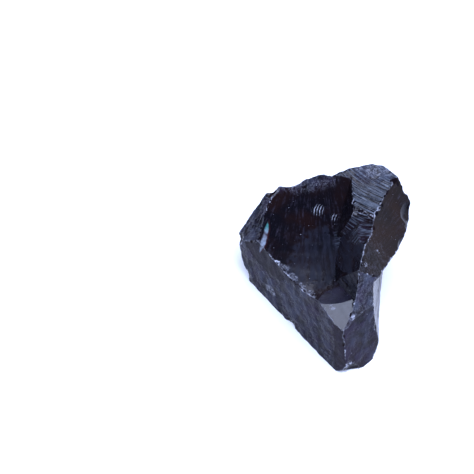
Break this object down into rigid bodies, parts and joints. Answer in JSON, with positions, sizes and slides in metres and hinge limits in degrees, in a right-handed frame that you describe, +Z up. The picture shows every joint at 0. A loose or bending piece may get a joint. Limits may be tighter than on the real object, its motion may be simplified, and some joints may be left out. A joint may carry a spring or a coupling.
{
  "type": "obsidian chunk",
  "caption": "Raw chunk of black volcanic glass with a hollowed top, a steep ridge, sharp conchoidal breaks and a flat break to rest on.",
  "frame": {"origin": "centre of the chunk's bounding box in plan, at the level of the flat break that it rests on", "axes": "+Z up from the resting break; +Y towards the tall back edge, along the longest side in plan; +X towards the wing that leans out over the undercut"},
  "size_m": [0.0324, 0.0385, 0.0184],
  "materials": {
    "obsidian": "opaque black volcanic glass with a polished break, satin on the rougher walls, frosted white along crushed edges, and faint brown patches"
  },
  "bodies": {
    "root": {"obsidian_chunk": "obsidian"}
  },
  "joints": []
}
